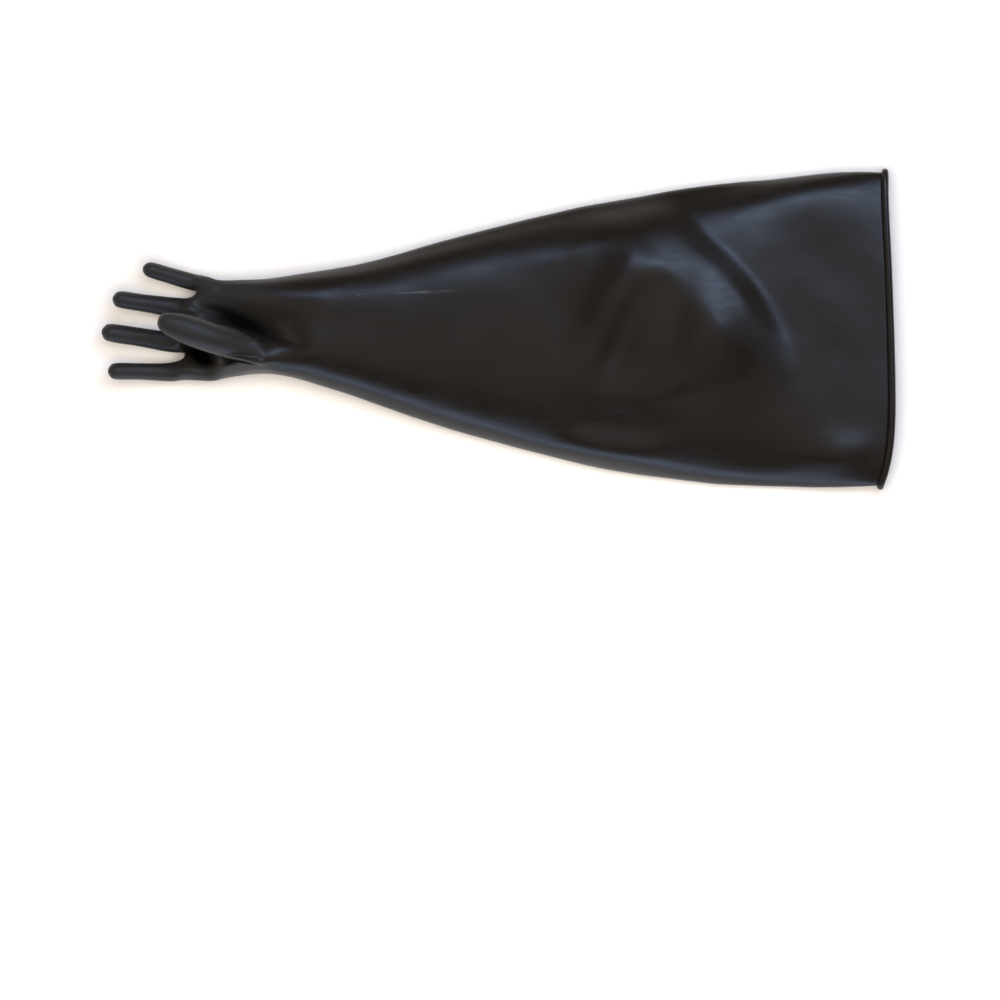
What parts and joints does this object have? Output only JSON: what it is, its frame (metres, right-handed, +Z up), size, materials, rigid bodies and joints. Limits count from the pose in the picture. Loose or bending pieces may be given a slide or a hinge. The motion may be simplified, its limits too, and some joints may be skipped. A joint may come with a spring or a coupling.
{
  "type": "long latex glovebox glove, left hand",
  "caption": "Shoulder-length dipped latex glove, left hand, with a wide tapering sleeve and a rolled bead that grips a round glove port.",
  "frame": {"origin": "middle of the glove's length and width, on the surface that it lies on", "axes": "+X from the fingertips to the cuff, +Y towards the little finger's side, +Z up from the back of the hand to the palm"},
  "size_m": [0.8026, 0.3268, 0.0768],
  "materials": {
    "latex_film": "satin black dipped latex, smooth, with soft blurred highlights, faint dip streaks and pale powder scuffs",
    "latex_bead": "satin black latex, rolled into a round bead"
  },
  "bodies": {
    "root": {"glove_shell": "latex_film", "cuff_bead": "latex_bead"}
  },
  "joints": []
}
